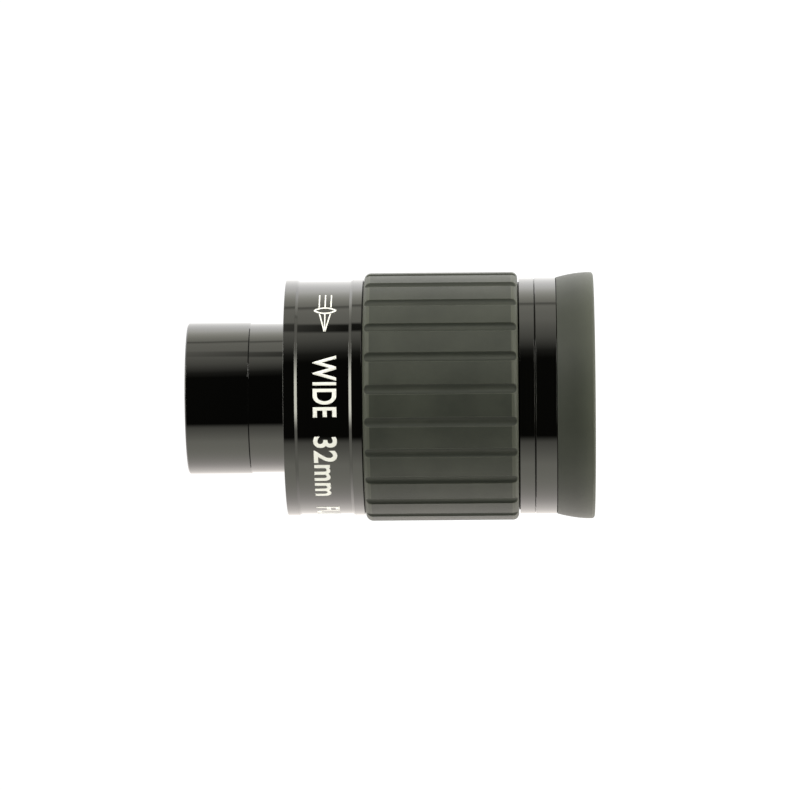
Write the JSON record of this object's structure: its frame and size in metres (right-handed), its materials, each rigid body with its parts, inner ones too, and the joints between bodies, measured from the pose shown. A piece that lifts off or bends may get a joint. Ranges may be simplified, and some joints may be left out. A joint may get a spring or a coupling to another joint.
{
  "type": "telescope eyepiece",
  "caption": "Wide-field telescope eyepiece with a push-fit barrel, a grooved rubber twist ring that raises the eyecup, and a soft flared eye guard round the eye lens.",
  "frame": {"origin": "centre of the barrel's open end, on the optical axis; the eyepiece stands on that end", "axes": "+Z along the optical axis, from the telescope towards the eye; +X through the first guide pin; the middle of the label band's lettering faces -Y"},
  "size_m": [0.0834, 0.0834, 0.1363],
  "materials": {
    "black_anodised_barrel": "gloss",
    "gloss_black_housing": "gloss",
    "black_anodised_inner": "matte",
    "black_anodised_eye_end": "satin",
    "gloss_black_ring_a": "gloss",
    "gloss_black_ring_b": "gloss",
    "bare_aluminium": "satin",
    "pin_steel": "satin",
    "glide_plastic": "matte",
    "coated_glass": "polished",
    "grip_rubber": "matte",
    "guard_rubber": "matte"
  },
  "bodies": {
    "optics_body": {"barrel": "black_anodised_barrel", "field_stop_ring": "black_anodised_inner", "lower_housing": "gloss_black_housing", "field_lens_cell": "black_anodised_inner", "field_lens_front": "coated_glass", "field_lens_rear": "coated_glass", "field_lock_ring": "black_anodised_inner", "body_tube": "black_anodised_inner", "mid_lens": "coated_glass", "rear_lens_front": "coated_glass", "rear_lens_back": "coated_glass", "lens_spacer": "black_anodised_inner", "lens_lock_ring": "black_anodised_inner", "eye_lens_cell": "black_anodised_eye_end", "eye_lens": "coated_glass", "eye_lens_ring": "black_anodised_eye_end", "glide_washer_lower": "glide_plastic", "glide_washer_upper": "glide_plastic", "twist_retaining_ring": "bare_aluminium"},
    "twist_ring_body": {"twist_ring": "black_anodised_inner", "rubber_grip": "grip_rubber"},
    "eyecup_body": {"eyecup_sleeve": "gloss_black_ring_a", "guide_pins": "pin_steel", "eyecup_ring": "gloss_black_ring_b", "eye_guard": "guard_rubber"}
  },
  "joints": [
    {"name": "grip_twist", "type": "hinge", "parent": "optics_body", "child": "twist_ring_body", "pos_m": [0, 0, 0.085], "axis": [0, 0, 1], "range_deg": [0, 120]},
    {"name": "eyecup_rise", "type": "slide", "parent": "optics_body", "child": "eyecup_body", "axis": [0, 0, 1], "range_m": [0, 0.00801]}
  ],
  "couplings": [
    {"joint": "eyecup_rise", "follows": "grip_twist", "m_per_rad": 0.0038197}
  ]
}
